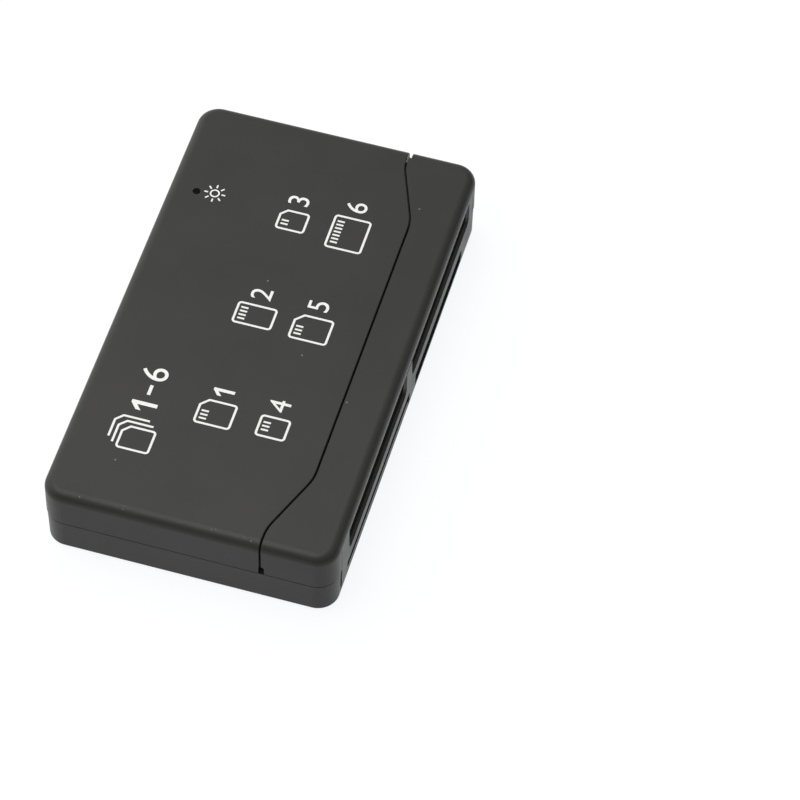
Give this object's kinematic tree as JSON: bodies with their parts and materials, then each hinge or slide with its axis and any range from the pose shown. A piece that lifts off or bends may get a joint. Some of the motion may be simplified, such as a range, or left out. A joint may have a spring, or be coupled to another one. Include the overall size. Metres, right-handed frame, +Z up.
{
  "type": "memory card reader",
  "caption": "Flat oblong memory card reader in dark grey plastic, with card slots along one long side, a bent seam over the top and a small port for a lead.",
  "frame": {"origin": "middle of the underside, on the plane the reader lies on", "axes": "+X out of the long side with the card windows, +Y along the length towards the end with the light's hole, +Z up"},
  "size_m": [0.0516, 0.09, 0.015],
  "materials": {
    "casing_plastic": "fine grained dark grey moulding",
    "board_laminate": "green solder mask",
    "socket_plastic": "black glass-filled moulding",
    "shield_steel": "tinned sheet",
    "contact_gold": "gold flash",
    "chip_resin": "black moulding compound",
    "lead_tin": "bright tin",
    "can_metal": "drawn can",
    "ceramic_tan": "fired ceramic",
    "resistor_film": "glazed black film",
    "lamp_lens": "milky clear moulding"
  },
  "bodies": {
    "root": {"top_cover": "casing_plastic", "slot_cover": "casing_plastic", "slot_plate": "casing_plastic", "bottom_cover": "casing_plastic", "main_board": "board_laminate", "wide_card_header": "socket_plastic", "full_card_housing": "socket_plastic", "thin_card_housing": "socket_plastic", "stick_housing": "socket_plastic", "micro_card_housing": "socket_plastic", "micro_stick_housing": "socket_plastic", "usb_insulator": "socket_plastic", "full_card_shield": "shield_steel", "thin_card_shield": "shield_steel", "stick_shield": "shield_steel", "micro_card_shield": "shield_steel", "micro_stick_shield": "shield_steel", "usb_shell": "shield_steel", "wide_card_pins": "contact_gold", "full_card_contacts": "contact_gold", "thin_card_contacts": "contact_gold", "stick_contacts": "contact_gold", "micro_card_contacts": "contact_gold", "micro_stick_contacts": "contact_gold", "usb_contacts": "contact_gold", "controller_chip": "chip_resin", "regulator": "chip_resin", "controller_leads": "lead_tin", "regulator_leads": "lead_tin", "crystal": "can_metal", "bulk_capacitor": "can_metal", "chip_capacitors": "ceramic_tan", "chip_resistors": "resistor_film", "access_light": "lamp_lens"}
  },
  "joints": []
}
